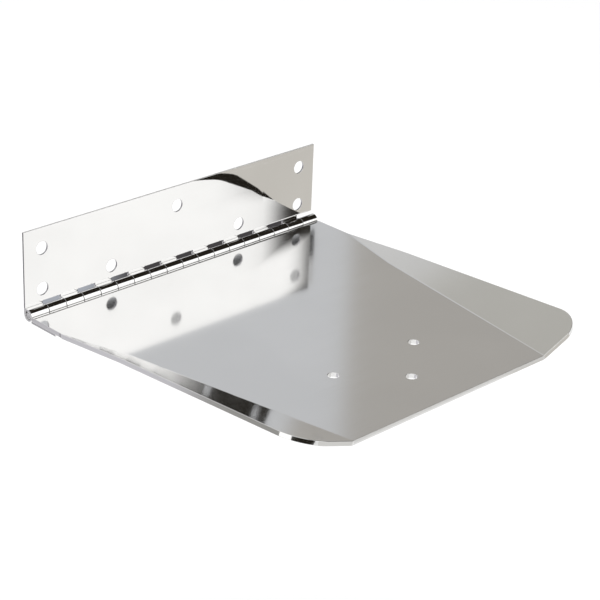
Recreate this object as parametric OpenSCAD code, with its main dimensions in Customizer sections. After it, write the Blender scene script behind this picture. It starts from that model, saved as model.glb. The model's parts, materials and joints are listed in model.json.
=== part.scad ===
// Boat trim tab: a bent stainless plate hung from a transom flange by a full-width piano hinge.
// X runs along the hinge, -Y is aft and +Z is up. The origin is on the transom face of the flange,
// at the centre of its four corner screw holes.

/* [Hinge] */
// Length of the hinge, which is also the width of the tab
hinge_len = 228.6; // [160:0.1:320]
// Number of knuckles along the hinge, taken in turn by the flange and the leaf
knuckle_count = 18; // [8:2:28]
// Gap between one knuckle and the next
knuckle_gap = 0.4; // [0.2:0.05:1]
// Thickness of the sheet that the flange and the leaf are rolled from
leaf_t = 1.27; // [0.8:0.01:2]
// Slit left where a rolled knuckle comes back to its sheet
roll_slit = 0.25; // [0.1:0.05:0.5]
// Clearance above a knuckle in the notch that the other sheet has for it
notch_clearance = 0.8; // [0.4:0.1:2]
// Width of the leaf under the plate, from the pin centre
leaf_w = 25.4; // [18:0.1:36]

/* [Pin] */
// Diameter of the hinge pin
pin_d = 4.76; // [3:0.01:6.5]
// Radial running clearance between the pin and its knuckles
pin_clearance = 0.05; // [0.02:0.01:0.1]
// Distance that each end of the pin stays inside the hinge
pin_inset = 0.3; // [0:0.1:2]
// Chamfer on the ends of the pin
pin_chamfer = 0.5; // [0.1:0.1:1.2]

/* [Transom flange] */
// Height of the flange above the pin centre
flange_h = 50.8; // [46:0.1:90]
// Diameter of the transom screw holes
screw_hole_d = 8.2; // [4:0.1:10]
// Distance from each end of the flange to its end screw holes
screw_end_inset = 12.7; // [8:0.1:20]
// Height of the lower screw row above the pin centre
lower_row_z = 12.7; // [11:0.1:16]
// Distance from the lower screw row to the upper one
row_pitch = 25.4; // [14:0.1:28]

/* [Trim plate] */
// Distance from the transom face to the trailing edge
chord = 228.6; // [170:0.1:320]
// Thickness of the plate
plate_t = 2.7; // [1.5:0.1:4]
// Gap between the hinge barrel and the front edge of the plate
barrel_gap = 0.5; // [0.3:0.1:1.5]
// Width that is bent up at each side, at the trailing edge
wing_w = 38.1; // [26:0.1:60]
// Angle that the side wings are bent up
wing_angle = 19.3; // [6:0.1:24]
// Inside radius of the wing bends
bend_r = 3; // [1:0.5:8]
// Distance from the pin centre to the point where a wing starts to rise
bend_start = 33; // [30:1:60]
// Length over which a wing rises to its full angle
bend_run = 30; // [12:1:40]
// Radius of the rear corners
corner_r = 19.05; // [6:0.05:24]

/* [Actuator bracket holes] */
// Diameter of the bracket holes
bracket_hole_d = 6.6; // [4:0.1:9]
// Distance between the two forward bracket holes
bracket_pair_w = 64; // [30:0.5:90]
// Distance from the forward pair to the aft bracket hole
bracket_pitch = 28.4; // [14:0.1:50]
// Distance from the aft bracket hole to the trailing edge
bracket_inset = 30.4; // [12:0.1:60]

/* [Spot welds] */
// Number of spot welds that join the plate to the leaf
weld_count = 5; // [3:1:9]
// Distance from each end of the leaf to its end welds
weld_end_inset = 14.3; // [8:0.1:24]
// Distance from the pin centre to the row of welds
weld_row_y = 10; // [9:0.1:14]
// Diameter of the mark that an electrode leaves
weld_mark_d = 5.5; // [3:0.1:7]
// Depth of the mark that an electrode leaves
weld_mark_depth = 0.12; // [0.05:0.01:0.3]

/* [Hidden] */
$fn = 64;
// Overlap of cutting tools past the faces that they cut
overcut = 1;

half_len = hinge_len / 2;
knuckle_pitch = hinge_len / knuckle_count;
bore_r = pin_d / 2 + pin_clearance;
barrel_r = bore_r + leaf_t;
notch_edge = barrel_r + notch_clearance;

// The hinge line in the part's frame: the barrel's back is level with the transom face
hinge_y = -barrel_r;
hinge_z = -(lower_row_z + row_pitch / 2);

// Screw columns on the flange
end_column = half_len - screw_end_inset;
mid_column = end_column / 2;
upper_row_z = lower_row_z + row_pitch;

// Plate levels and edges, measured from the pin centre
plate_bottom = leaf_t - barrel_r;
plate_top = plate_bottom + plate_t;
front_y = -(barrel_r + barrel_gap);
aft_y = barrel_r - chord;
aft_hole_y = aft_y + bracket_inset;
pair_hole_y = aft_hole_y + bracket_pitch;

// The right bend line runs from the front corner of the plate to the trailing edge
bend_heading = atan2(aft_y - front_y, -wing_w);
bend_dir = [cos(bend_heading), sin(bend_heading)];
bend_out = [-bend_dir.y, bend_dir.x];
bend_len = norm([wing_w, front_y - aft_y]);
tangent_len = bend_r * tan(wing_angle / 2);
front_corner = [half_len, front_y];

// Where a wing starts to rise at the side edge, and where it has risen fully
rise_start = [half_len, -bend_start];
rise_end = [half_len, -bend_start - bend_run];
inner_end = front_corner + bend_dir * (rise_end.y - front_y) / bend_dir.y;
inner_end_len = norm(inner_end - front_corner);

// The ramp between them turns about the line from rise_start to inner_end
lifted_w = (rise_end - front_corner) * bend_out;
lifted_foot = rise_end - lifted_w * bend_out;
lifted_end = lifted_foot + lifted_w * cos(wing_angle) * bend_out;
lifted_z = lifted_w * sin(wing_angle);
ramp_dir = (inner_end - rise_start) / norm(inner_end - rise_start);
ramp_out = [-ramp_dir.y, ramp_dir.x];
ramp_heading = atan2(ramp_dir.y, ramp_dir.x);
ramp_reach = (lifted_end - rise_start) * ramp_out;
ramp_angle = atan2(lifted_z, ramp_reach);
ramp_end = lifted_end + (norm([ramp_reach, lifted_z]) - ramp_reach) * ramp_out;

// Moves a shape drawn around the pin centre to its place in the part's frame
module at_hinge() {
    translate([0, hinge_y, hinge_z]) children();
}

// Stretches a YZ outline along the hinge, from x0 to x1
module along_hinge(x0, x1) {
    translate([x0, 0, 0]) rotate([90, 0, 90]) linear_extrude(x1 - x0) children();
}

// Section of a knuckle: the sheet stands at +X of the pin and rolls round it back to its own face
module rolled_section() {
    difference() {
        union() {
            circle(barrel_r);
            translate([bore_r, 0]) square([leaf_t, notch_edge]);
        }
        circle(bore_r);
        translate([bore_r - roll_slit, 0]) square([roll_slit, notch_edge]);
    }
}

// Every second knuckle along the hinge, from the one with this index
module knuckles(first) {
    for (i = [first : 2 : knuckle_count - 1]) {
        left_gap = i == 0 ? 0 : knuckle_gap / 2;
        right_gap = i == knuckle_count - 1 ? 0 : knuckle_gap / 2;
        x0 = i * knuckle_pitch - half_len;
        along_hinge(x0 + left_gap, x0 + knuckle_pitch - right_gap) children();
    }
}

// Shallow spherical marks of the spot welds, pressed into a face at height z from the given side
module weld_marks(z, side) {
    mark_r = (pow(weld_mark_d / 2, 2) + pow(weld_mark_depth, 2)) / (2 * weld_mark_depth);
    weld_span = hinge_len - 2 * weld_end_inset;
    for (i = [0 : weld_count - 1])
        translate([i * weld_span / (weld_count - 1) - weld_span / 2, -weld_row_y,
                   z + side * (mark_r - weld_mark_depth)])
            sphere(mark_r);
}

module screw_hole(x, z) {
    translate([x, bore_r - overcut, z]) rotate([-90, 0, 0])
        cylinder(d = screw_hole_d, h = leaf_t + 2 * overcut);
}

module transom_flange() {
    color("gainsboro") at_hinge() difference() {
        union() {
            translate([-half_len, bore_r, notch_edge])
                cube([hinge_len, leaf_t, flange_h - notch_edge]);
            knuckles(0) rolled_section();
        }
        for (x = [-end_column, -mid_column, mid_column, end_column]) screw_hole(x, lower_row_z);
        for (x = [-end_column, 0, end_column]) screw_hole(x, upper_row_z);
    }
}

module hinge_leaf() {
    color("silver") at_hinge() difference() {
        union() {
            translate([-half_len, -leaf_w, -barrel_r]) cube([hinge_len, leaf_w - notch_edge, leaf_t]);
            knuckles(1) mirror([1, 1]) rolled_section();
        }
        weld_marks(-barrel_r, -1);
    }
}

// Turns a flat piece of the plate up about a line in its top face
module folded(point, heading, angle) {
    translate([point.x, point.y, plate_top]) rotate([0, 0, heading]) rotate([angle, 0, 0])
        rotate([0, 0, -heading]) translate([-point.x, -point.y, -plate_top]) children();
}

module plate_sheet() {
    translate([0, 0, plate_bottom]) linear_extrude(plate_t) children();
}

// Right half of the flat blank, with its rear corner rounded
module blank_half() {
    difference() {
        translate([0, aft_y]) square([half_len, front_y - aft_y]);
        translate([half_len - corner_r, aft_y + corner_r]) difference() {
            translate([0, -corner_r - overcut]) square(corner_r + overcut);
            circle(corner_r);
        }
    }
}

// Flat panel between the two bends
module flat_panel() {
    bend_edge = front_corner - tangent_len * bend_out;
    inner_edge = inner_end - tangent_len * bend_out;
    aft_edge = bend_edge + bend_dir * (aft_y - bend_edge.y) / bend_dir.y;
    right = [front_corner, rise_start, inner_end, inner_edge, aft_edge];
    left = [for (i = [len(right) - 1 : -1 : 0]) [-right[i].x, right[i].y]];
    plate_sheet() polygon(concat(right, left));
}

// Round strip of the right bend, from the ramp to the trailing edge
module bend_strip() {
    reach = 2 * (bend_r + plate_t);
    intersection() {
        translate([front_corner.x, front_corner.y, 0]) rotate([0, 0, bend_heading + 90])
            rotate([90, 0, 0]) translate([-tangent_len, plate_top + bend_r, inner_end_len])
                linear_extrude(bend_len - inner_end_len + reach) intersection() {
                    difference() {
                        circle(bend_r + plate_t);
                        circle(bend_r);
                    }
                    polygon([[0, 0], [0, -reach], [reach * sin(wing_angle), -reach * cos(wing_angle)]]);
                }
        translate([0, aft_y, plate_bottom - overcut])
            cube([half_len, front_y - aft_y, plate_t + bend_r + reach]);
    }
}

// Flat part of the right wing, turned up about the bend line
module wing_panel() {
    wing_edge = inner_end + tangent_len * bend_out;
    aft_edge = wing_edge + bend_dir * bend_len;
    folded(front_corner, bend_heading, wing_angle) plate_sheet() intersection() {
        blank_half();
        polygon([rise_end, inner_end, wing_edge, aft_edge, aft_edge + wing_w * bend_out,
                 rise_end + wing_w * bend_out]);
    }
}

// Short ramp where the bend runs in from the right side edge
module ramp_panel() {
    tuck = plate_t * tan(ramp_angle / 2) * ramp_out;
    folded(rise_start, ramp_heading, ramp_angle) plate_sheet()
        polygon([rise_start, rise_start - tuck, inner_end - tuck, inner_end, ramp_end]);
}

module plate_side() {
    bend_strip();
    wing_panel();
    ramp_panel();
}

module bracket_hole(x, y) {
    translate([x, y, plate_bottom - overcut]) cylinder(d = bracket_hole_d, h = plate_t + 2 * overcut);
}

module trim_plate() {
    color("lightgray") at_hinge() difference() {
        union() {
            flat_panel();
            plate_side();
            mirror([1, 0, 0]) plate_side();
        }
        for (x = [-bracket_pair_w / 2, bracket_pair_w / 2]) bracket_hole(x, pair_hole_y);
        bracket_hole(0, aft_hole_y);
        weld_marks(plate_top, 1);
    }
}

module hinge_pin() {
    pin_r = pin_d / 2;
    pin_len = hinge_len - 2 * pin_inset;
    color("darkgray") at_hinge() translate([-pin_len / 2, 0, 0]) rotate([0, 90, 0])
        rotate_extrude() polygon([
            [0, 0], [pin_r - pin_chamfer, 0], [pin_r, pin_chamfer],
            [pin_r, pin_len - pin_chamfer], [pin_r - pin_chamfer, pin_len], [0, pin_len]
        ]);
}

transom_flange();
hinge_leaf();
trim_plate();
hinge_pin();
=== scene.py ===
import json
import math
import bmesh
import bpy
from mathutils import Matrix, Vector


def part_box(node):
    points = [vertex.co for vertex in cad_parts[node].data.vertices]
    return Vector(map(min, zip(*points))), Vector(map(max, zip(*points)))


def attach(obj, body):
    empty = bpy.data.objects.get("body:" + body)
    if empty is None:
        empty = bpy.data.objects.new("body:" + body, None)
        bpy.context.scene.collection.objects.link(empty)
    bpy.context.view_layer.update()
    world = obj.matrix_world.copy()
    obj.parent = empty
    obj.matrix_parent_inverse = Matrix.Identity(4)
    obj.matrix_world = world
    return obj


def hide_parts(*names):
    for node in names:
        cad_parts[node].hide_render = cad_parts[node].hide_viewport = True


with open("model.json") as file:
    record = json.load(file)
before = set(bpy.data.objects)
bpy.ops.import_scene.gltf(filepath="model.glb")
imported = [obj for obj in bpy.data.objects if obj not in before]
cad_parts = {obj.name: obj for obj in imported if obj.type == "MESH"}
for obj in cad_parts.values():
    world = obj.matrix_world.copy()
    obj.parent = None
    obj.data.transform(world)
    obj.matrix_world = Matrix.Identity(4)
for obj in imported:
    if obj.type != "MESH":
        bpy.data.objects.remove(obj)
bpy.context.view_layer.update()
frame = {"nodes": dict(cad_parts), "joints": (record.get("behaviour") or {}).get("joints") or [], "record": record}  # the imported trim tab, in metres: X along the hinge, -Y aft, +Z up
bpy.ops.object.select_all(action="DESELECT")
print("frame loaded:", ", ".join(sorted(frame["nodes"])))

mm = 0.001
hingeLine = Vector(frame["joints"][0]["pos_m"])  # a point on the pin's centre line
mounts = {mount["name"]: mount for mount in frame["record"]["mounts"]}
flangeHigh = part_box("transom_flange")[1]
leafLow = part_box("hinge_leaf")[0]
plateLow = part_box("trim_plate")[0]
pinLow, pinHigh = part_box("hinge_pin")
halfLength = flangeHigh.x
barrelRadius = flangeHigh.y - hingeLine.y


# Tools for working in edit mode

shop = {
    "mergeDistance": 0.002 * mm,
    "tolerance": 0.05 * mm,   # within this a vertex counts as lying on a line
    "facing": 0.9,            # cosine above which a face counts as facing a way
    "roundAngle": 35,         # edges sharper than this are rounded
    "smoothAngle": 50,
    "faceWeight": 100,        # how strongly the large faces keep their normals
    "drillDepth": 20 * mm,
    "drillSides": 72,
}


def pick(piece, kind, test):
    # selects the vertices, edges or faces that pass the test, and nothing else
    bpy.ops.mesh.select_mode(type=kind)
    bpy.ops.mesh.select_all(action="DESELECT")
    mesh = bmesh.from_edit_mesh(piece.data)
    items = {"VERT": mesh.verts, "EDGE": mesh.edges, "FACE": mesh.faces}[kind]
    chosen = [item for item in items if test(item)]
    for item in chosen:
        item.select_set(True)
    mesh.select_flush_mode()
    bmesh.update_edit_mesh(piece.data)
    return len(chosen)


def openForEditing(piece):
    bpy.ops.object.select_all(action="DESELECT")
    piece.select_set(True)
    bpy.context.view_layer.objects.active = piece
    bpy.ops.object.mode_set(mode="EDIT")


def closeEditing(isShell=True):
    bpy.ops.mesh.select_all(action="SELECT")
    bpy.ops.mesh.remove_doubles(threshold=shop["mergeDistance"])
    if isShell:
        bpy.ops.mesh.normals_make_consistent(inside=False)
    bpy.ops.object.mode_set(mode="OBJECT")


def addBlock(name, low, high):
    centre = [(a + b) / 2 for a, b in zip(low, high)]
    sides = [b - a for a, b in zip(low, high)]
    bpy.ops.mesh.primitive_cube_add(size=1, location=centre, scale=sides)
    bpy.ops.object.transform_apply(location=True, rotation=True, scale=True)
    bpy.context.object.name = name
    return bpy.context.object


def cutAway(piece, cutters):
    # joins the cutters into one and takes it out of the piece
    bpy.ops.object.select_all(action="DESELECT")
    for cutter in cutters:
        cutter.select_set(True)
    bpy.context.view_layer.objects.active = cutters[0]
    if len(cutters) > 1:
        bpy.ops.object.join()
    tool = bpy.context.object
    cut = piece.modifiers.new("cut", "BOOLEAN")
    cut.operation = "DIFFERENCE"
    cut.solver = "EXACT"
    cut.object = tool
    bpy.context.view_layer.objects.active = piece
    bpy.ops.object.modifier_apply(modifier="cut")
    bpy.data.objects.remove(tool)


def roundEdges(piece, width, segments):
    # softens every sharp edge
    bpy.ops.object.select_all(action="DESELECT")
    piece.select_set(True)
    bpy.context.view_layer.objects.active = piece
    soften = piece.modifiers.new("soften", "BEVEL")
    soften.width = width
    soften.segments = segments
    soften.limit_method = "ANGLE"
    soften.angle_limit = math.radians(shop["roundAngle"])
    soften.use_clamp_overlap = False
    bpy.ops.object.modifier_apply(modifier="soften")


def smoothFaces(piece):
    # smooth shading in which the large faces keep their own flat normals
    bpy.ops.object.select_all(action="DESELECT")
    piece.select_set(True)
    bpy.context.view_layer.objects.active = piece
    bpy.ops.object.shade_smooth_by_angle(angle=math.radians(shop["smoothAngle"]))
    flatten = piece.modifiers.new("flatten", "WEIGHTED_NORMAL")
    flatten.keep_sharp = True
    flatten.weight = shop["faceWeight"]
    bpy.ops.object.modifier_apply(modifier="flatten")


def fit(piece, body, node):
    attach(piece, body)
    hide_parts(node)


# Places of the holes, from the part's own mounts

def holeCentres(mount):
    dims = mount["dims"]
    acrossX = dims.get("spacing_x_mm", 0) * mm / 2
    acrossY = dims.get("spacing_y_mm", 0) * mm / 2
    upright = Vector((0, 0, 1)) if abs(mount["axis"][1]) > 0.5 else Vector((0, 1, 0))
    places = []
    for sideX in ((-1, 1) if acrossX else (0,)):
        for sideY in ((-1, 1) if acrossY else (0,)):
            offset = Vector((sideX * acrossX, 0, 0)) + upright * sideY * acrossY
            places.append(Vector(mount["pos_m"]) + offset)
    return places


def drillHoles(piece, mountNames, turn):
    drills = []
    for name in mountNames:
        dims = mounts[name]["dims"]
        radius = dims.get("hole_r_mm", dims.get("r_mm")) * mm
        for place in holeCentres(mounts[name]):
            bpy.ops.mesh.primitive_cylinder_add(vertices=shop["drillSides"], radius=radius,
                                                depth=shop["drillDepth"], location=place, rotation=turn)
            bpy.ops.object.transform_apply(location=True, rotation=True, scale=True)
            drills.append(bpy.context.object)
    cutAway(piece, drills)


# The rolled hinge, which the flange and the leaf share

hinge = {
    "knuckles": 18,
    "gap": 0.4 * mm,          # between one knuckle and the next
    "sheet": 1.27 * mm,       # thickness of both sheets
    "slit": 0.1 * mm,         # where a roll comes back to its own sheet
    "rollSteps": 54,
    "rim": 0.1 * mm,          # rounding of the sheared edges
    "rimSteps": 2,
}
boreRadius = barrelRadius - hinge["sheet"]


def knuckleSpans(first):
    pitch = 2 * halfLength / hinge["knuckles"]
    spans = []
    for index in range(first, hinge["knuckles"], 2):
        left = index * pitch - halfLength
        leftGap = 0 if index == 0 else hinge["gap"] / 2
        rightGap = 0 if index == hinge["knuckles"] - 1 else hinge["gap"] / 2
        spans.append((left + leftGap, left + pitch - rightGap))
    return spans


def rollKnuckles(piece, first, outward, turn, notch):
    # cuts the sheet's edge into tongues, draws them out to the pin and rolls them round it
    spans = knuckleSpans(first)
    outward = Vector(outward)
    homeward = Matrix.Rotation(turn * math.pi / 2, 3, "X") @ outward  # the way a roll ends
    edgeFace = lambda face: face.normal.dot(outward) > shop["facing"]
    for left, right in spans:
        for x in (left, right):
            if abs(x) < halfLength - shop["tolerance"]:
                bpy.ops.mesh.select_all(action="SELECT")
                bpy.ops.mesh.bisect(plane_co=(x, 0, 0), plane_no=(1, 0, 0))
    onTongue = lambda x: any(left < x < right for left, right in spans)
    pick(piece, "FACE", lambda face: edgeFace(face) and onTongue(face.calc_center_median().x))
    bpy.ops.mesh.extrude_region_move(TRANSFORM_OT_translate={"value": outward * notch})
    threeQuarters = turn * 1.5 * math.pi
    bpy.ops.mesh.spin(steps=hinge["rollSteps"], dupli=False, angle=threeQuarters,
                      center=hingeLine, axis=(1, 0, 0))
    # from there a straight end closes the roll against its own sheet
    straight = homeward * (boreRadius - hinge["slit"])
    bpy.ops.mesh.extrude_region_move(TRANSFORM_OT_translate={"value": straight})


# Transom flange: the upright sheet with the even knuckles

transomFlange = {
    "notch": 5.2 * mm,        # from the pin's centre to the edge of a notch
    "screwMounts": ("transom_corner_screws", "transom_lower_screws", "transom_upper_screw"),
}


def makeFlange():
    low = (-halfLength, flangeHigh.y - hinge["sheet"], hingeLine.z + transomFlange["notch"])
    flange = addBlock("transomFlange", low, (halfLength, flangeHigh.y, flangeHigh.z))
    openForEditing(flange)
    rollKnuckles(flange, 0, (0, 0, -1), 1, transomFlange["notch"])
    closeEditing()
    drillHoles(flange, transomFlange["screwMounts"], (math.pi / 2, 0, 0))
    roundEdges(flange, hinge["rim"], hinge["rimSteps"])
    smoothFaces(flange)
    fit(flange, "transom_side", "transom_flange")
    return flange


flangePiece = makeFlange()
print("transom flange:", len(flangePiece.data.polygons), "faces")

# Spot welds between the leaf and the plate

spotWeld = {
    "count": 5,
    "endInset": 14.3 * mm,
    "row": 10 * mm,           # from the pin's centre
    "diameter": 5.5 * mm,
    "depth": 0.06 * mm,
    "slope": 11,              # of the dent's rim
    "overshoot": 2,           # depths that the cutting die stands out of the face
    "sides": 64,
}


def pressWelds(piece, level, side):
    # shallow flat dents with sloping rims, as the electrodes leave them in a face
    rim = spotWeld["depth"] / math.tan(math.radians(spotWeld["slope"]))
    floorRadius = spotWeld["diameter"] / 2 - rim
    topRadius = floorRadius + rim * (1 + spotWeld["overshoot"])
    dieHeight = spotWeld["depth"] * (1 + spotWeld["overshoot"])
    dieLevel = level + side * spotWeld["depth"] * (spotWeld["overshoot"] - 1) / 2
    span = 2 * (halfLength - spotWeld["endInset"])
    dies = []
    for index in range(spotWeld["count"]):
        x = index * span / (spotWeld["count"] - 1) - span / 2
        centre = (x, hingeLine.y - spotWeld["row"], dieLevel)
        radii = (floorRadius, topRadius) if side > 0 else (topRadius, floorRadius)
        bpy.ops.mesh.primitive_cone_add(vertices=spotWeld["sides"], radius1=radii[0], radius2=radii[1],
                                        depth=dieHeight, location=centre)
        bpy.ops.object.transform_apply(location=True, rotation=True, scale=True)
        dies.append(bpy.context.object)
    cutAway(piece, dies)


# Hinge leaf: the strip under the plate with the odd knuckles

hingeLeaf = {
    "width": 25.4 * mm,       # from the pin's centre
    "notch": 3.2 * mm,        # from the pin's centre to the edge of a notch
}


def makeLeaf():
    bottom = hingeLine.z - barrelRadius
    low = (-halfLength, hingeLine.y - hingeLeaf["width"], bottom)
    high = (halfLength, hingeLine.y - hingeLeaf["notch"], bottom + hinge["sheet"])
    leaf = addBlock("hingeLeaf", low, high)
    openForEditing(leaf)
    rollKnuckles(leaf, 1, (0, 1, 0), -1, hingeLeaf["notch"])
    closeEditing()
    roundEdges(leaf, hinge["rim"], hinge["rimSteps"])
    pressWelds(leaf, bottom, -1)
    smoothFaces(leaf)
    fit(leaf, "tab", "hinge_leaf")
    return leaf


leafPiece = makeLeaf()
print("hinge leaf:", len(leafPiece.data.polygons), "faces")

# Trim plate: a flat blank with its sides bent up and its rear corners rounded

trimPlate = {
    "thickness": 2.7 * mm,
    "barrelGap": 0.08 * mm,   # between the barrel and the front edge
    "frontSlope": (2.1 * mm, 0.27 * mm),  # run and drop of the ground front edge
    "wingWidth": 38.1 * mm,   # at the trailing edge
    "wingAngle": 19.3,
    "bendRadius": 3 * mm,
    "bendSteps": 6,
    "leastCrease": 8,         # degrees of bend from which a crease gets its radius
    "riseStart": 31 * mm,     # from the pin's centre
    "riseRun": 51 * mm,
    "cornerRadius": 19.05 * mm,
    "cornerSteps": 24,
    "rim": 0.22 * mm,
    "rimSteps": 3,
    "bracketMounts": ("actuator_bracket_pair", "actuator_bracket_aft"),
}


def makePlate():
    top = hingeLine.z - barrelRadius + hinge["sheet"] + trimPlate["thickness"]
    front = hingeLine.y - barrelRadius - trimPlate["barrelGap"]
    aft = plateLow.y
    near = shop["tolerance"]
    bpy.ops.mesh.primitive_plane_add(size=1, location=(0, (front + aft) / 2, top))
    plate = bpy.context.object
    plate.name = "trimPlate"
    plate.scale = (2 * halfLength, front - aft, 1)
    bpy.ops.object.transform_apply(location=True, rotation=True, scale=True)
    bendAngle = math.atan2(trimPlate["wingWidth"], front - aft)  # between the bend line and -Y
    riseFrom = (front - hingeLine.y + trimPlate["riseStart"]) * math.cos(bendAngle)
    riseTo = riseFrom + trimPlate["riseRun"] * math.cos(bendAngle)
    openForEditing(plate)
    # rear corners
    pick(plate, "VERT", lambda vert: vert.co.y < aft + near)
    bpy.ops.mesh.bevel(offset=trimPlate["cornerRadius"], offset_type="OFFSET", affect="VERTICES",
                       segments=trimPlate["cornerSteps"])
    for side in (-1, 1):
        corner = Vector((side * halfLength, front, top))
        outward = Vector((side * math.cos(bendAngle), -math.sin(bendAngle), 0))
        alongBend = Vector((-side * math.sin(bendAngle), -math.cos(bendAngle), 0))
        # bend line, a line across the wing where it has risen, and a crease from there to the side edge
        bendPoint = corner + alongBend * riseTo
        edgePoint = corner + (alongBend + outward * math.tan(bendAngle)) * riseFrom
        crease = (bendPoint - edgePoint).normalized()
        isOuter = lambda face: (face.calc_center_median() - corner).dot(outward) > near
        isFront = lambda face: (face.calc_center_median() - bendPoint).dot(alongBend) < 0
        bpy.ops.mesh.select_all(action="SELECT")
        bpy.ops.mesh.bisect(plane_co=corner, plane_no=outward)
        pick(plate, "FACE", isOuter)
        bpy.ops.mesh.bisect(plane_co=bendPoint, plane_no=alongBend)
        pick(plate, "FACE", lambda face: isOuter(face) and isFront(face))
        bpy.ops.mesh.bisect(plane_co=edgePoint, plane_no=(crease.y, -crease.x, 0))
        # turn the blank so that the bend line lies along X, lift the wing and turn it back
        heading = math.atan2(alongBend.y, alongBend.x)
        bpy.ops.mesh.select_all(action="SELECT")
        bpy.ops.transform.rotate(value=heading, orient_axis="Z", center_override=corner)
        pick(plate, "VERT", lambda vert: (side * (vert.co.y - corner.y) > near
                                          and vert.co.x - corner.x > riseTo - near))
        bpy.ops.transform.rotate(value=-side * math.radians(trimPlate["wingAngle"]), orient_axis="X",
                                 center_override=corner)
        bpy.ops.mesh.select_all(action="SELECT")
        bpy.ops.transform.rotate(value=-heading, orient_axis="Z", center_override=corner)
    # the bends and creases get their inside radius
    leastBend = math.radians(trimPlate["leastCrease"])
    pick(plate, "EDGE", lambda edge: edge.is_manifold and edge.calc_face_angle() > leastBend)
    tangent = trimPlate["bendRadius"] * math.tan(math.radians(trimPlate["wingAngle"]) / 2)
    bpy.ops.mesh.bevel(offset=tangent, offset_type="OFFSET", affect="EDGES",
                       segments=trimPlate["bendSteps"])
    closeEditing(isShell=False)
    thicken = plate.modifiers.new("thicken", "SOLIDIFY")
    thicken.thickness = trimPlate["thickness"]
    thicken.offset = -1
    thicken.use_even_offset = True
    bpy.context.view_layer.objects.active = plate
    bpy.ops.object.modifier_apply(modifier="thicken")
    drillHoles(plate, trimPlate["bracketMounts"], (0, 0, 0))
    # the front edge is ground down toward the barrel
    run, drop = trimPlate["frontSlope"]
    openForEditing(plate)
    bpy.ops.mesh.select_all(action="SELECT")
    bpy.ops.mesh.bisect(plane_co=(0, front - run, 0), plane_no=(0, 1, 0))
    pick(plate, "VERT", lambda vert: vert.co.y > front - near and vert.co.z > top - near)
    bpy.ops.transform.translate(value=(0, 0, -drop))
    isCrest = lambda vert: abs(vert.co.y - front + run) < near and vert.co.z > top - near
    pick(plate, "EDGE", lambda edge: all(isCrest(vert) for vert in edge.verts))
    bpy.ops.mesh.mark_sharp()
    closeEditing()
    roundEdges(plate, trimPlate["rim"], trimPlate["rimSteps"])
    pressWelds(plate, top, 1)
    smoothFaces(plate)
    fit(plate, "tab", "trim_plate")
    return plate


platePiece = makePlate()
print("trim plate:", len(platePiece.data.polygons), "faces")

# Hinge pin: a rod with chamfered ends and a centre mark in each

hingePin = {
    "sides": 64,
    "chamfer": 0.5 * mm,
    "rim": 0.08 * mm,
    "rimSteps": 2,
    "endAngle": 60,           # only the edges of the two ends are sharper
    "punchRadius": 0.7 * mm,  # centre mark on each end
    "punchTaper": 0.9,        # share of that radius by which the mark narrows
    "punchDepth": 0.35 * mm,
}


def makePin():
    radius = pinHigh.z - hingeLine.z
    length = pinHigh.x - pinLow.x
    bpy.ops.mesh.primitive_cylinder_add(vertices=hingePin["sides"], radius=radius, depth=length,
                                        location=hingeLine, rotation=(0, math.pi / 2, 0))
    bpy.ops.object.transform_apply(location=True, rotation=True, scale=True)
    pin = bpy.context.object
    pin.name = "hingePin"
    openForEditing(pin)
    endAngle = math.radians(hingePin["endAngle"])
    pick(pin, "EDGE", lambda edge: edge.calc_face_angle() > endAngle)
    bpy.ops.mesh.bevel(offset=hingePin["chamfer"], offset_type="OFFSET", affect="EDGES", segments=1)
    for side in (-1, 1):
        pick(pin, "FACE", lambda face: face.normal.x * side > shop["facing"])
        bpy.ops.mesh.inset(thickness=radius - hingePin["chamfer"] - hingePin["punchRadius"])
        bpy.ops.mesh.inset(thickness=hingePin["punchRadius"] * hingePin["punchTaper"],
                           depth=-hingePin["punchDepth"])
    closeEditing()
    roundEdges(pin, hingePin["rim"], hingePin["rimSteps"])
    smoothFaces(pin)
    fit(pin, "transom_side", "hinge_pin")
    return pin


pinPiece = makePin()
print("hinge pin:", len(pinPiece.data.polygons), "faces")

# Steel finishes

polish = {
    "grain": {"Scale": 1, "Detail": 5, "Roughness": 0.6},
    "grainSpread": (0.3, 0.7),
    "patches": {"Detail": 2, "Roughness": 0.5},
    "patchSpread": (0.35, 0.65),
    "scratches": {"Scale": 1, "Detail": 1, "Roughness": 0.4},
    "scratchStretch": (14, 900, 900),
    "scratchSpread": (0.74, 0.8),  # only the peaks of the noise become hairlines
}


def addNode(tree, kind, inputs, **settings):
    # an input that is a socket gets a link, any other value is set on the node
    node = tree.nodes.new(kind)
    for name, value in settings.items():
        setattr(node, name, value)
    for key, value in inputs.items():
        if isinstance(value, bpy.types.NodeSocket):
            tree.links.new(value, node.inputs[key])
        else:
            node.inputs[key].default_value = value
    return node


def rescale(tree, value, fromRange, toRange):
    return addNode(tree, "ShaderNodeMapRange", {
        "Value": value, "From Min": fromRange[0], "From Max": fromRange[1],
        "To Min": toRange[0], "To Max": toRange[1]}).outputs[0]


def combine(tree, operation, first, second):
    return addNode(tree, "ShaderNodeMath", {0: first, 1: second}, operation=operation).outputs[0]


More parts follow.
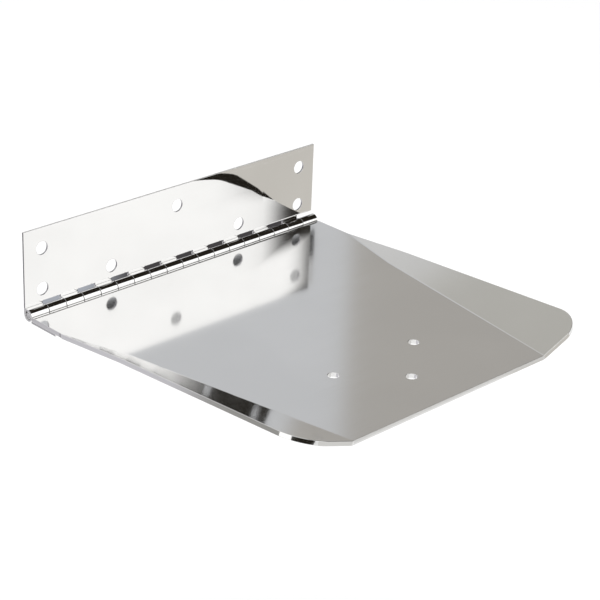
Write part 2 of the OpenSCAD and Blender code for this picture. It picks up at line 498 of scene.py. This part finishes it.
def steelFinish(name, look, shapeSurface=None, findShearedAndShaded=None):
    material = bpy.data.materials.new(name)
    material.use_nodes = True
    tree = material.node_tree
    shader = tree.nodes["Principled BSDF"]
    shader.inputs["Metallic"].default_value = 1
    place = addNode(tree, "ShaderNodeTexCoord", {}).outputs["Object"]
    # grain drawn out the way the sheet was polished
    grainPlace = addNode(tree, "ShaderNodeMapping", {"Vector": place, "Scale": look["grain"]})
    grain = addNode(tree, "ShaderNodeTexNoise", {
        "Vector": grainPlace.outputs[0], **polish["grain"]}).outputs[0]
    # broad patches where the wheel ran longer
    patches = addNode(tree, "ShaderNodeTexNoise", {
        "Vector": place, "Scale": look["patches"], **polish["patches"]}).outputs[0]
    # hairline scratches at a slant
    scratchPlace = addNode(tree, "ShaderNodeMapping", {
        "Vector": place, "Rotation": look["scratchTurn"], "Scale": polish["scratchStretch"]})
    scratchNoise = addNode(tree, "ShaderNodeTexNoise", {
        "Vector": scratchPlace.outputs[0], **polish["scratches"]}).outputs[0]
    scratches = rescale(tree, scratchNoise, polish["scratchSpread"], (0, 1))
    # colour
    tone = rescale(tree, patches, polish["patchSpread"], (0, 1))
    toned = addNode(tree, "ShaderNodeMix", {
        "Factor": tone, "A": (*look["colour"], 1), "B": (*look["worn"], 1)}, data_type="RGBA")
    colour = toned.outputs["Result"]
    # darker walls and ends: partly duller sheared steel, partly painted shade in holes, notches and between
    # parts
    if findShearedAndShaded:
        cut = addNode(tree, "ShaderNodeMix", {
            "Factor": findShearedAndShaded(tree, place), "A": colour, "B": (*look["shearedAndShaded"], 1)}, data_type="RGBA")
        colour = cut.outputs["Result"]
    tree.links.new(colour, shader.inputs["Base Color"])
    # roughness
    gloss = rescale(tree, grain, polish["grainSpread"], look["roughness"])
    marks = combine(tree, "MULTIPLY", scratches, look["scratchDepth"])
    level = combine(tree, "ADD", gloss, marks)
    if "satin" in look:
        height = addNode(tree, "ShaderNodeSeparateXYZ", {"Vector": place}).outputs["Z"]
        satin = rescale(tree, height, look["satin"]["heights"], (look["satin"]["roughness"], 0))
        level = combine(tree, "MAXIMUM", level, satin)
    tree.links.new(level, shader.inputs["Roughness"])
    # surface
    bump = addNode(tree, "ShaderNodeBump", {"Height": grain, "Distance": look["grainHeight"]})
    if shapeSurface:
        tree.links.new(shapeSurface(tree, place), bump.inputs["Normal"])
    tree.links.new(bump.outputs[0], shader.inputs["Normal"])
    return material


def dress(piece, material):
    piece.data.materials.clear()
    piece.data.materials.append(material)


flangeLook = {
    "colour": (0.8, 0.797, 0.79),
    "worn": (0.775, 0.772, 0.765),
    "grain": (12, 900, 900),
    "grainHeight": 0.0005 * mm,
    "patches": 22,
    "roughness": (0.02, 0.05),
    "scratchTurn": (0, 0.12, 0),
    "scratchDepth": 0.05,
    "bowStart": -4.8 * mm,    # height at which the sheet starts to lean forward
    "bowRun": 12 * mm,
    "bow": 0.034,             # about two degrees above the run
    "endStart": 71 * mm,      # from here the right end leans from lower down and falls back a little
    "endTwist": 0.46,         # how much lower, for each metre past that start
    "endFall": 0.276,         # times the square of the distance past it
    "edgeRoll": 6 * mm,       # strip along the top edge that rolls back
    "edgeFall": 381,          # times the cube of the height up that strip
    # darker walls of the holes and notches: duller sheared steel with painted shade
    "shearedAndShaded": (0.36, 0.355, 0.37),  # walls of the holes and notches
    "wallFade": 0.05 * mm,    # over which a wall's colour gives way to a face's
    "barrelFade": 0.2 * mm,
    "satin": {"heights": (flangeHigh.z - 0.02 * mm, flangeHigh.z - 0.1 * mm), "roughness": 0.6},
}


def flangeBow(tree, place):
    # the sheet's slight bow, with its upper edge rolled back
    parts = addNode(tree, "ShaderNodeSeparateXYZ", {"Vector": place})
    height = parts.outputs["Z"]
    pastEnd = combine(tree, "SUBTRACT", parts.outputs["X"], flangeLook["endStart"])
    beyond = combine(tree, "MAXIMUM", pastEnd, 0)
    raised = combine(tree, "ADD", height, combine(tree, "MULTIPLY", beyond, flangeLook["endTwist"]))
    above = combine(tree, "MAXIMUM", combine(tree, "SUBTRACT", raised, flangeLook["bowStart"]), 0)
    within = combine(tree, "MINIMUM", above, flangeLook["bowRun"])
    curved = combine(tree, "DIVIDE", combine(tree, "MULTIPLY", within, within), 2 * flangeLook["bowRun"])
    straight = combine(tree, "SUBTRACT", above, within)
    lean = combine(tree, "MULTIPLY", combine(tree, "ADD", curved, straight), flangeLook["bow"])
    rollStart = flangeHigh.z - flangeLook["edgeRoll"]
    past = combine(tree, "MAXIMUM", combine(tree, "SUBTRACT", height, rollStart), 0)
    fall = combine(tree, "MULTIPLY", combine(tree, "POWER", past, 3), flangeLook["edgeFall"])
    droop = combine(tree, "MULTIPLY", combine(tree, "MULTIPLY", beyond, beyond), flangeLook["endFall"])
    relief = combine(tree, "SUBTRACT", combine(tree, "SUBTRACT", lean, fall), droop)
    return addNode(tree, "ShaderNodeBump", {"Height": relief, "Distance": 1}).outputs[0]


def flangeDullWallsAndShade(tree, place):
    # what lies between the two faces above the barrel: punched holes, notches and sheared ends, darkened
    # partly as duller sheared steel and partly as painted shade in these recesses
    parts = addNode(tree, "ShaderNodeSeparateXYZ", {"Vector": place})
    half = hinge["sheet"] / 2
    wall = half - hinge["rim"]
    top = flangeHigh.z - hinge["rim"]
    barrelTop = hingeLine.z + barrelRadius
    wallStart = barrelTop + flangeLook["barrelFade"]
    fade = flangeLook["wallFade"]
    fromMiddle = combine(tree, "ABSOLUTE", combine(tree, "ADD", parts.outputs["Y"], half), 0)
    inside = rescale(tree, fromMiddle, (wall, wall - fade), (0, 1))
    overBarrel = rescale(tree, parts.outputs["Z"], (barrelTop, wallStart), (0, 1))
    underTop = rescale(tree, parts.outputs["Z"], (top, top - fade), (0, 1))
    return combine(tree, "MULTIPLY", inside, combine(tree, "MULTIPLY", overBarrel, underTop))


leafLook = {
    "colour": (0.76, 0.757, 0.75),
    "worn": (0.73, 0.727, 0.72),
    "grain": (10, 800, 800),
    "grainHeight": 0.0006 * mm,
    "patches": 30,
    "roughness": (0.03, 0.08),
    "scratchTurn": (0, 0, 0.2),
    "scratchDepth": 0.06,
    "satin": {"heights": (leafLow.z + 0.1 * mm, leafLow.z + 0.5 * mm), "roughness": 0.3},
    # darker ends: duller sheared steel and painted shade between the leaf and the plate
    "shearedAndShaded": (0.57, 0.57, 0.565),  # the two ends
    "endFade": (0.1 * mm, 0.05 * mm),  # from the ends
}


def leafDullEndsAndShade(tree, place):
    # the leaf's two sheared ends, darkened partly as duller sheared steel and partly as painted shade where
    # the leaf meets the plate
    along = addNode(tree, "ShaderNodeSeparateXYZ", {"Vector": place}).outputs["X"]
    reach = combine(tree, "ABSOLUTE", along, 0)
    start, full = leafLook["endFade"]
    return rescale(tree, reach, (halfLength - start, halfLength - full), (0, 1))


plateLook = {
    "colour": (0.78, 0.777, 0.77),
    "worn": (0.755, 0.752, 0.745),
    "grain": (9, 700, 700),
    "grainHeight": 0.0006 * mm,
    "patches": 16,
    "roughness": (0.075, 0.105),
    "scratchTurn": (0, 0, 0.35),
    "scratchDepth": 0.05,
}

pinLook = {
    "colour": (0.62, 0.617, 0.61),
    "worn": (0.57, 0.567, 0.56),
    "grain": (2600, 120, 120),
    "grainHeight": 0.0008 * mm,
    "patches": 60,
    "roughness": (0.16, 0.28),
    "scratchTurn": (0, 0, 1.4),
    "scratchDepth": 0.08,
}

dress(flangePiece, steelFinish("mirrorSheet", flangeLook, flangeBow, flangeDullWallsAndShade))
dress(leafPiece, steelFinish("leafSheet", leafLook, None, leafDullEndsAndShade))
dress(platePiece, steelFinish("brightPlate", plateLook))
dress(pinPiece, steelFinish("groundRod", pinLook))
print("finishes:", ", ".join(material.name for material in bpy.data.materials))

# Camera at the photograph's angle

view = {
    "azimuth": -44.80,
    "elevation": 25.01,
    "roll": 2.27,
    "target": (0.0211, -0.0881, -0.0251),
    "distance": 1.1663,
    "lens": 118.67,
    "sensor": 36,
}


def placeCamera():
    azimuth = math.radians(view["azimuth"])
    elevation = math.radians(view["elevation"])
    back = Vector((math.sin(azimuth) * math.cos(elevation), -math.cos(azimuth) * math.cos(elevation),
                   math.sin(elevation)))
    roll = Matrix.Rotation(math.radians(view["roll"]), 3, "Z")
    turn = (-back).to_track_quat("-Z", "Y").to_matrix() @ roll
    bpy.ops.object.camera_add(location=Vector(view["target"]) + back * view["distance"],
                              rotation=turn.to_euler())
    camera = bpy.context.object
    camera.data.lens = view["lens"]
    camera.data.sensor_width = view["sensor"]
    bpy.context.scene.camera = camera


placeCamera()
print("camera placed")

# Studio: cards that the steel mirrors, a pale floor and soft light from above

studio = {
    "centre": (0, -0.1, 0),
    "floorLevel": hingeLine.z - 0.275,  # below the tab when it hangs straight down
    "floorSize": 60,
    "floorPaint": (0.9, 0.9, 0.9),
    "floorGlow": 0.6,         # share of plain white that the floor shows
    "airStrength": (0.6, 1),  # as light on the steel, and as background
    "wallRing": 4.4,          # distance of the walls from the centre
    "matLift": 2 * mm,        # of the mats above the floor
    "dark": (0.02, 0.017, 0.013),
    "warm": (0.466, 0.449, 0.423),
    "cool": (0.65, 0.66, 0.68),
    "lilac": (0.68, 0.67, 0.71),
    "matGrey": (0.675, 0.65, 0.605),
}


def newStageMaterial(name):
    material = bpy.data.materials.new(name)
    material.use_nodes = True
    material.node_tree.nodes.clear()
    return material


def finishCard(card, name, colour, split=None, findClear=None):
    # a plain glow that the camera doesn't see; with a split, a second colour past a line across the card,
    # and with findClear, a share of it that lets light through
    material = newStageMaterial(name)
    tree = material.node_tree
    glow = addNode(tree, "ShaderNodeEmission", {"Color": (*colour, 1)})
    if split:
        place = addNode(tree, "ShaderNodeTexCoord", {}).outputs["Object"]
        across = addNode(tree, "ShaderNodeVectorMath", {
            0: place, 1: split["across"]}, operation="DOT_PRODUCT")
        far = addNode(tree, "ShaderNodeMapRange", {
            "Value": across.outputs["Value"], "From Min": split["start"] - split["soft"],
            "From Max": split["start"] + split["soft"]}, interpolation_type="SMOOTHSTEP")
        mix = addNode(tree, "ShaderNodeMix", {
            "Factor": far.outputs[0], "A": (*colour, 1), "B": (*split["colour"], 1)}, data_type="RGBA")
        tree.links.new(mix.outputs["Result"], glow.inputs["Color"])
    surface = glow
    if findClear:
        clear = addNode(tree, "ShaderNodeBsdfTransparent", {})
        surface = addNode(tree, "ShaderNodeMixShader", {
            0: findClear(tree), 1: glow.outputs[0], 2: clear.outputs[0]})
    addNode(tree, "ShaderNodeOutputMaterial", {"Surface": surface.outputs[0]})
    card.name = name
    card.visible_camera = False
    card.visible_diffuse = False
    card.visible_shadow = False
    card.data.materials.append(material)


def standCard(name, azimuths, elevations, colour, ring, split=None):
    # an upright card round the tab, between two headings and two heights as seen from it
    middle = sum(azimuths) / 2
    low, high = (ring * math.tan(math.radians(angle)) for angle in elevations)
    width = 2 * ring * math.tan(math.radians(azimuths[1] - middle))
    centre = (low + high) / 2
    toCard = Vector((math.sin(math.radians(middle)), -math.cos(math.radians(middle)), 0))
    place = Vector(studio["centre"]) + toCard * ring + Vector((0, 0, centre))
    bpy.ops.mesh.primitive_plane_add(size=1, location=place,
                                     rotation=(math.pi / 2, 0, math.radians(middle)))
    card = bpy.context.object
    card.scale = (width, high - low, 1)
    bpy.ops.object.transform_apply(location=False, rotation=False, scale=True)
    line = None
    if split:
        ends = []
        for azimuth, elevation in split["line"]:
            aside = math.radians(azimuth - middle)
            height = ring / math.cos(aside) * math.tan(math.radians(elevation))
            ends.append(Vector((ring * math.tan(aside), height - centre, 0)))
        along = (ends[1] - ends[0]).normalized()
        across = Vector((along.y, -along.x, 0))
        line = {**split, "across": across, "start": across.dot(ends[0])}
    finishCard(card, name, colour, line)


def layCard(name, low, high, lift, colour, split=None):
    # a card just above the floor, between two corners
    centre = Vector(((low[0] + high[0]) / 2, (low[1] + high[1]) / 2, studio["floorLevel"] + lift))
    bpy.ops.mesh.primitive_plane_add(size=1, location=centre)
    card = bpy.context.object
    card.scale = (high[0] - low[0], high[1] - low[1], 1)
    bpy.ops.object.transform_apply(location=False, rotation=False, scale=True)
    line = None
    if split:
        line = {**split, "across": (0, 1, 0), "start": split["from"] - centre.y}
    finishCard(card, name, colour, line)


standCard("softbox", (0, 52), (-4.3, 40), (1.5, 1.5, 1.5), 4.0,
          {"line": ((47.2, 2), (46.25, 23)), "soft": 0.12, "colour": studio["dark"]})
standCard("darkCurtain", (-5, 60), (-4, 62), studio["dark"], studio["wallRing"])
standCard("darkSide", (55, 118), (-4, 62), studio["dark"], studio["wallRing"])
standCard("lowWall", (116, 180), (-4, 14), studio["warm"], studio["wallRing"],
          {"line": ((130.4, 0), (130.4, 10)), "soft": 0.03, "colour": studio["cool"]})
standCard("backWall", (116, 180), (14, 36), studio["warm"], studio["wallRing"],
          {"line": ((133.2, 15), (133.2, 30)), "soft": 0.03, "colour": studio["cool"]})
standCard("highWall", (116, 180), (36, 62), (0.72, 0.72, 0.72), studio["wallRing"],
          {"line": ((160, 41.8), (150, 42.2)), "soft": 0.05, "colour": (0.54, 0.53, 0.497)})
standCard("leftWall", (205, 250), (-8, 14), studio["lilac"], 1.2,
          {"line": ((232.6, -5), (232.6, 10)), "soft": 0.03, "colour": (0.36, 0.355, 0.34)})
standCard("frontShade", (-72, -6), (-10, 8), studio["dark"], 1.5)
standCard("frontGlow", (-114, -73), (-6, 25), (1.35, 1.35, 1.33), 1.6)
layCard("greyMat", (0.46, -0.56), (0.85, -0.3), studio["matLift"], studio["matGrey"])
layCard("greyEnd", (0.55, -0.85), (1.2, -0.561), studio["matLift"], studio["matGrey"])
layCard("paleMat", (0.05, -1.6), (0.549, -0.561), studio["matLift"], (0.79, 0.782, 0.766))
layCard("lilacMat", (-2.6, -0.1), (-0.3, 2.6), studio["matLift"], studio["lilac"])
layCard("darkPatch", (-0.9, 0.37), (-0.3, 0.66), 2 * studio["matLift"], (0.66, 0.65, 0.69),
        {"from": 0.5, "soft": 0.12, "colour": (0.3, 0.29, 0.3)})
print("cards placed")

# Two small cards behind the flange, the second with painted shade

holeScreen = {
    "centre": (0.1, 0.1, 0.0665),
    "size": (0.24, 0.043),
    "colour": (0.05, 0.05, 0.05),
    "split": {"across": (0, 1, 0), "start": 0, "soft": 0.1, "colour": (0.5, 0.5, 0.5)},
}


def hangScreen():
    # seen only through the flange's screw holes, dark for the lower row
    bpy.ops.mesh.primitive_plane_add(size=1, location=holeScreen["centre"], rotation=(math.pi / 2, 0, 0))
    screen = bpy.context.object
    screen.scale = (*holeScreen["size"], 1)
    finishCard(screen, "holeScreen", holeScreen["colour"], holeScreen["split"])


hangScreen()

# painted shadow of the flange on a surface behind it: grey-blue, deepening to near black toward the right
# end
paintedNotchShade = {
    "ends": (-108 * mm, 98 * mm),
    "heights": (-3 * mm, 8 * mm),  # from the pin's centre
    "behind": 0.3 * mm,       # distance from the flange's back
    "shortRay": 2 * mm,       # mirror rays from the flange's back are shorter, those of the knuckles longer
    "colour": (0.38, 0.4, 0.44),
    "shadeDeepensAt": -52 * mm,    # halfway between its two colours
    "soft": 22 * mm,
    "dark": (0.06, 0.056, 0.058),
}


def clearStrip(tree):
    # the strip is clear from behind and for the flange's back
    behind = addNode(tree, "ShaderNodeNewGeometry", {}).outputs["Backfacing"]
    reach = addNode(tree, "ShaderNodeLightPath", {}).outputs["Ray Length"]
    isShort = combine(tree, "LESS_THAN", reach, paintedNotchShade["shortRay"])
    return combine(tree, "MAXIMUM", behind, isShort)


def paintShadeBehindNotches():
    # a strip close behind the hinge with painted shade on it, which the camera sees through the flange's
    # notches
    left, right = paintedNotchShade["ends"]
    bottom, top = paintedNotchShade["heights"]
    centre = Vector(((left + right) / 2, paintedNotchShade["behind"], hingeLine.z + (bottom + top) / 2))
    bpy.ops.mesh.primitive_plane_add(size=1, location=centre, rotation=(math.pi / 2, 0, 0))
    strip = bpy.context.object
    strip.scale = (right - left, top - bottom, 1)
    bpy.ops.object.transform_apply(location=False, rotation=False, scale=True)
    split = {"across": (1, 0, 0), "start": paintedNotchShade["shadeDeepensAt"] - centre.x,
             "soft": paintedNotchShade["soft"], "colour": paintedNotchShade["dark"]}
    finishCard(strip, "paintedNotchShade", paintedNotchShade["colour"], split, clearStrip)
    strip.visible_camera = True


paintShadeBehindNotches()

# Floor and light

def whitePaths(tree):
    # camera, mirror and glass rays, for which the surroundings are white
    path = addNode(tree, "ShaderNodeLightPath", {})
    seen = combine(tree, "MAXIMUM", path.outputs["Is Camera Ray"], path.outputs["Is Glossy Ray"])
    return combine(tree, "MAXIMUM", seen, path.outputs["Is Transmission Ray"])


def makeFloor():
    bpy.ops.mesh.primitive_plane_add(size=studio["floorSize"], location=(0, 0, studio["floorLevel"]))
    floor = bpy.context.object
    floor.name = "floor"
    material = newStageMaterial("paleFloor")
    tree = material.node_tree
    paint = addNode(tree, "ShaderNodeBsdfDiffuse", {"Color": (*studio["floorPaint"], 1)})
    glow = addNode(tree, "ShaderNodeEmission", {})
    share = combine(tree, "MULTIPLY", whitePaths(tree), studio["floorGlow"])
    mix = addNode(tree, "ShaderNodeMixShader", {0: share, 1: paint.outputs[0], 2: glow.outputs[0]})
    addNode(tree, "ShaderNodeOutputMaterial", {"Surface": mix.outputs[0]})
    floor.data.materials.append(material)


makeFloor()

overheadLamp = {
    "place": (0.1, 0.2, 2.2),
    "size": 2.4,
    "power": 60,
}


def lightRoom():
    bpy.ops.object.light_add(type="AREA", location=overheadLamp["place"], rotation=(0, 0, 0))
    overhead = bpy.context.object
    overhead.data.shape = "SQUARE"
    overhead.data.size = overheadLamp["size"]
    overhead.data.energy = overheadLamp["power"]
    overhead.visible_glossy = False
    world = bpy.data.worlds.new("studioAir")
    bpy.context.scene.world = world
    world.use_nodes = True
    tree = world.node_tree
    air = tree.nodes["Background"]
    air.inputs["Color"].default_value = (1, 1, 1, 1)
    strength = rescale(tree, whitePaths(tree), (0, 1), studio["airStrength"])
    tree.links.new(strength, air.inputs["Strength"])


lightRoom()
print("studio lit")

bpy.context.scene.view_settings.view_transform = "Standard"
